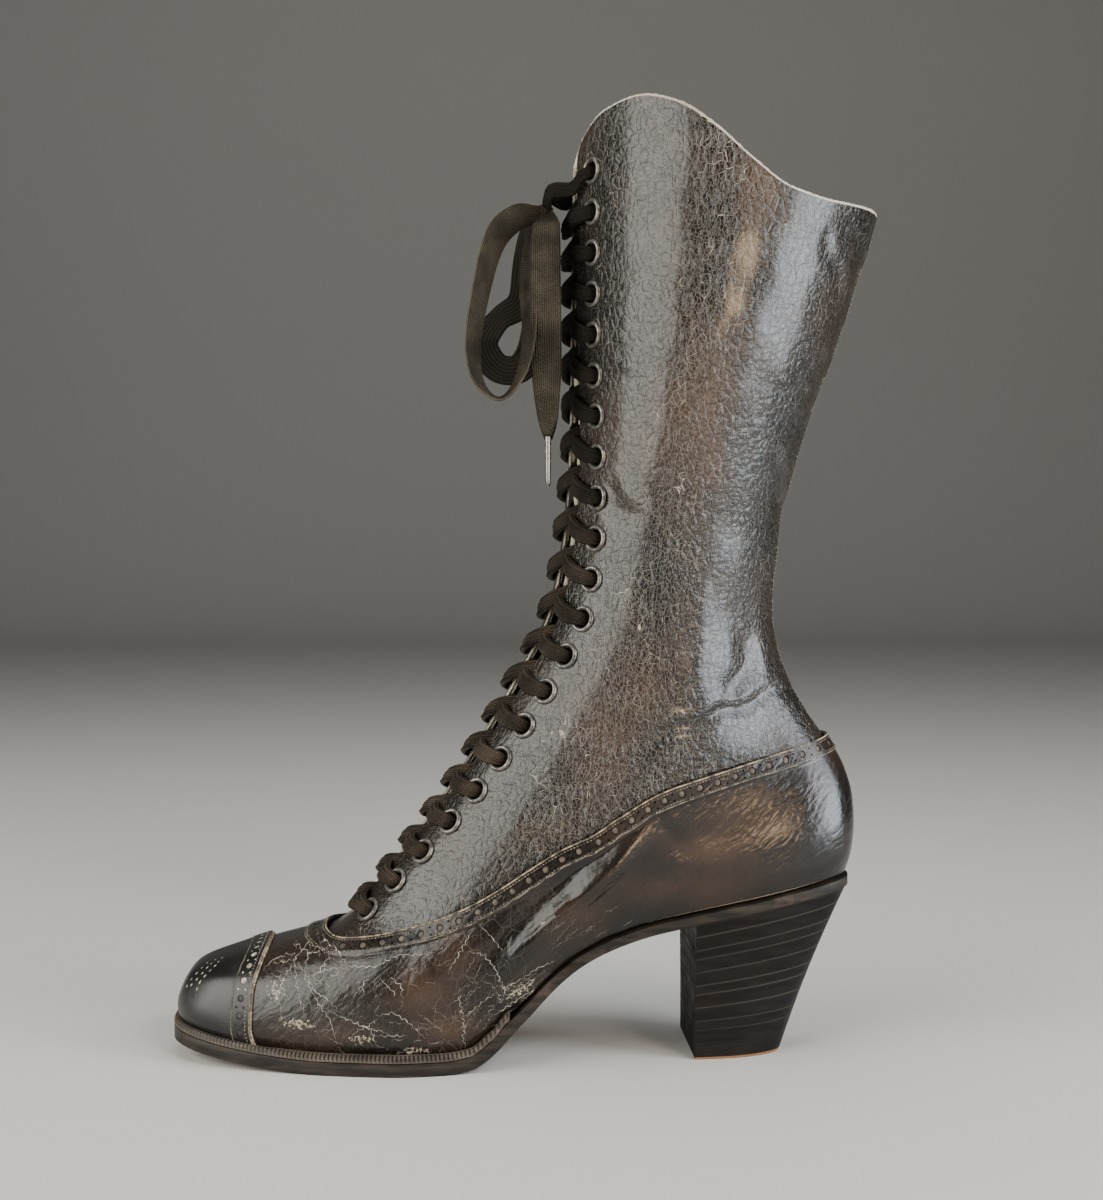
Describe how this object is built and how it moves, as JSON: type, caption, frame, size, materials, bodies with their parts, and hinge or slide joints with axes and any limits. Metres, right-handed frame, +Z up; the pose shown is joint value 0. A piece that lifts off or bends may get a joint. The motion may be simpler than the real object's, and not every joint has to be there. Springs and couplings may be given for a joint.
{
  "type": "victorian laced boot",
  "caption": "High laced leather boot for a left foot: brogued vamp and toe cap, eyelets up a long throat, curved waist and stacked leather heel, open at the collar to take a foot.",
  "frame": {"origin": "middle of the boot's box on the plane that the heel and the ball of the sole stand on", "axes": "+Z up the shaft, -X to the toe, +X to the heel, -Y to the outer side of the foot"},
  "size_m": [0.2552, 0.0918, 0.3384],
  "materials": {
    "black_kid_leather": "glazed black, crazed",
    "polished_cap_leather": "polished black",
    "sole_leather": "worn dark brown",
    "stacked_heel_leather": "burnished black lifts",
    "cream_lining": "matt cotton",
    "black_cotton": "matt woven",
    "worn_enamel": "black enamel worn to grey metal",
    "tag_metal": "rolled metal tag"
  },
  "bodies": {
    "root": {"upper": "black_kid_leather", "vamp_foxing": "black_kid_leather", "toe_cap": "polished_cap_leather", "tongue": "black_kid_leather", "outsole": "sole_leather", "insole": "cream_lining", "welt": "sole_leather", "heel_stack": "stacked_heel_leather", "heel_top_piece": "sole_leather", "lace_crossings": "black_cotton", "eyelet_outer_01": "worn_enamel", "eyelet_outer_02": "worn_enamel", "eyelet_outer_03": "worn_enamel", "eyelet_outer_04": "worn_enamel", "eyelet_outer_05": "worn_enamel", "eyelet_outer_06": "worn_enamel", "eyelet_outer_07": "worn_enamel", "eyelet_outer_08": "worn_enamel", "eyelet_outer_09": "worn_enamel", "eyelet_outer_10": "worn_enamel", "eyelet_outer_11": "worn_enamel", "eyelet_outer_12": "worn_enamel", "eyelet_outer_13": "worn_enamel", "eyelet_outer_14": "worn_enamel", "eyelet_outer_15": "worn_enamel", "eyelet_outer_16": "worn_enamel", "eyelet_outer_17": "worn_enamel", "eyelet_outer_18": "worn_enamel", "eyelet_outer_19": "worn_enamel", "eyelet_outer_20": "worn_enamel", "eyelet_outer_21": "worn_enamel", "eyelet_inner_01": "worn_enamel", "eyelet_inner_02": "worn_enamel", "eyelet_inner_03": "worn_enamel", "eyelet_inner_04": "worn_enamel", "eyelet_inner_05": "worn_enamel", "eyelet_inner_06": "worn_enamel", "eyelet_inner_07": "worn_enamel", "eyelet_inner_08": "worn_enamel", "eyelet_inner_09": "worn_enamel", "eyelet_inner_10": "worn_enamel", "eyelet_inner_11": "worn_enamel", "eyelet_inner_12": "worn_enamel", "eyelet_inner_13": "worn_enamel", "eyelet_inner_14": "worn_enamel", "eyelet_inner_15": "worn_enamel", "eyelet_inner_16": "worn_enamel", "eyelet_inner_17": "worn_enamel", "eyelet_inner_18": "worn_enamel", "eyelet_inner_19": "worn_enamel", "eyelet_inner_20": "worn_enamel", "eyelet_inner_21": "worn_enamel", "lace_knot": "black_cotton", "lace_loop_outer": "black_cotton", "lace_loop_inner": "black_cotton", "lace_end_outer": "black_cotton", "lace_end_inner": "black_cotton", "lace_tag_outer": "tag_metal", "lace_tag_inner": "tag_metal"}
  },
  "joints": []
}
